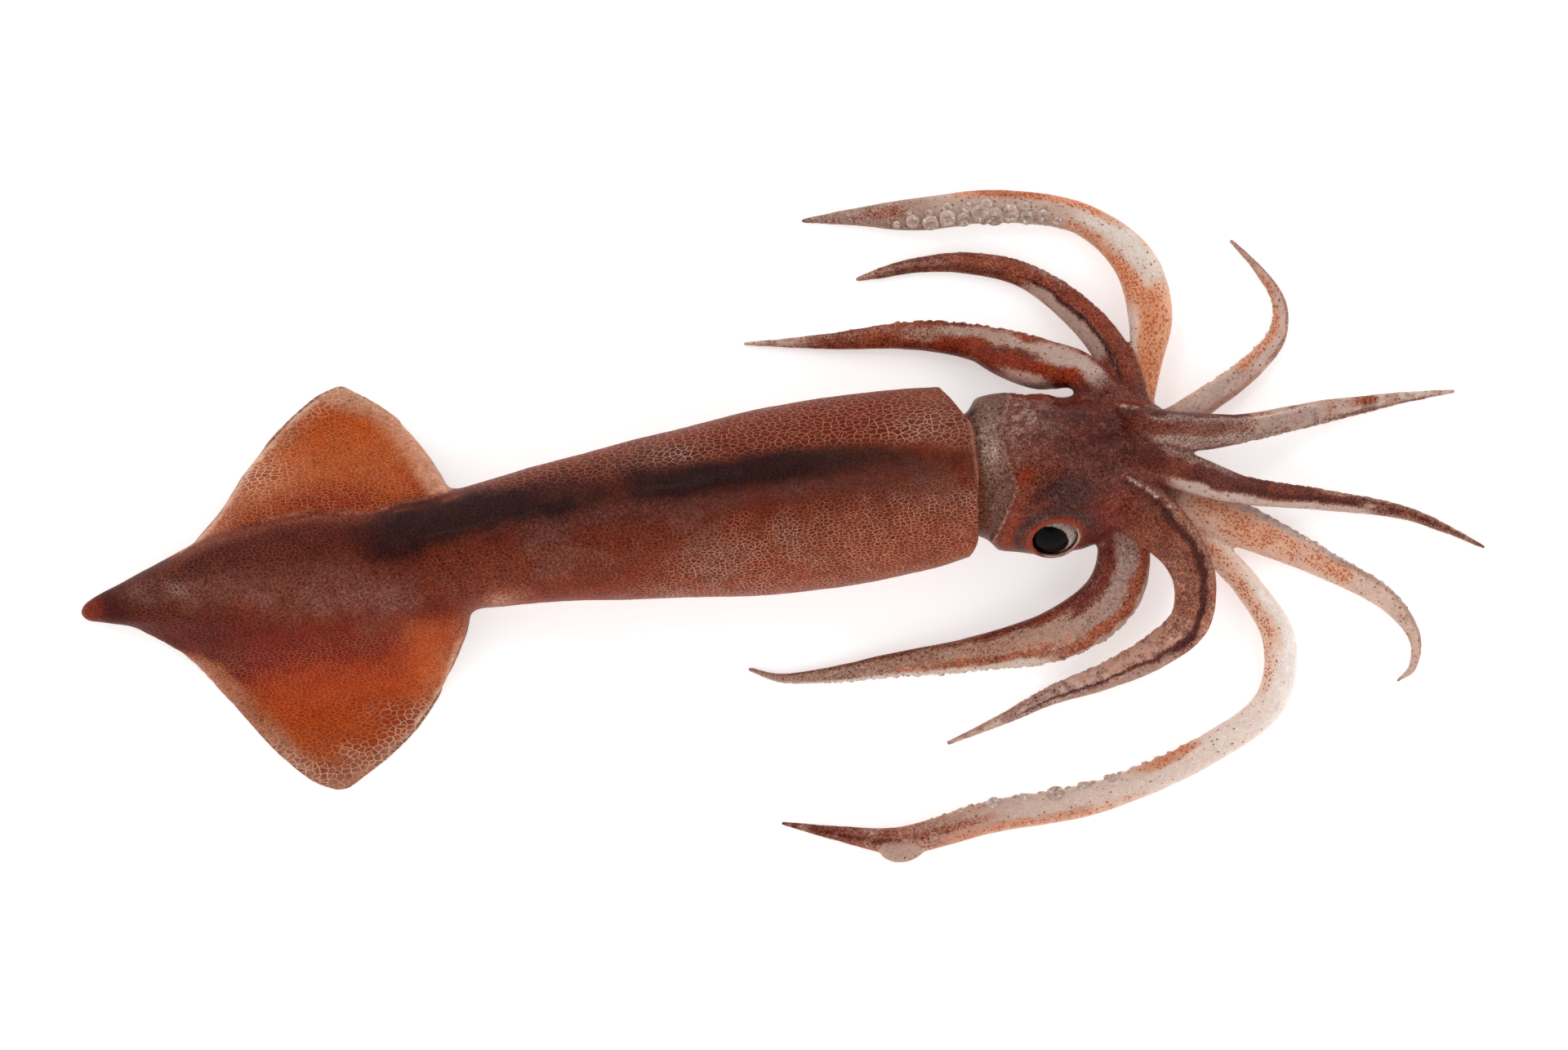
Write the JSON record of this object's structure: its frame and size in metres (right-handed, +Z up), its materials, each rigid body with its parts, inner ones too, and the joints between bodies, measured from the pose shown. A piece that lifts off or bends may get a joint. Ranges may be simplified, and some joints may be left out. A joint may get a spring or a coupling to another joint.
{
  "type": "arrow squid",
  "caption": "Whole raw arrow squid lying belly down, with a long tapering mantle, arrow-shaped tail fins, a large eye, curling arms and longer tentacles with suckers.",
  "frame": {"origin": "middle of the whole animal's footprint, on the surface that it lies on", "axes": "+X from the tail tip towards the arms, +Y to the squid's left, +Z up"},
  "size_m": [0.3884, 0.1817, 0.0429],
  "materials": {
    "flesh": "wet rust-red skin with darker back stripe and pale limbs",
    "eye": "wet black pupil in a pale grey ball"
  },
  "bodies": {
    "root": {"squid": "flesh", "right_eye": "eye", "left_eye": "eye"}
  },
  "joints": []
}
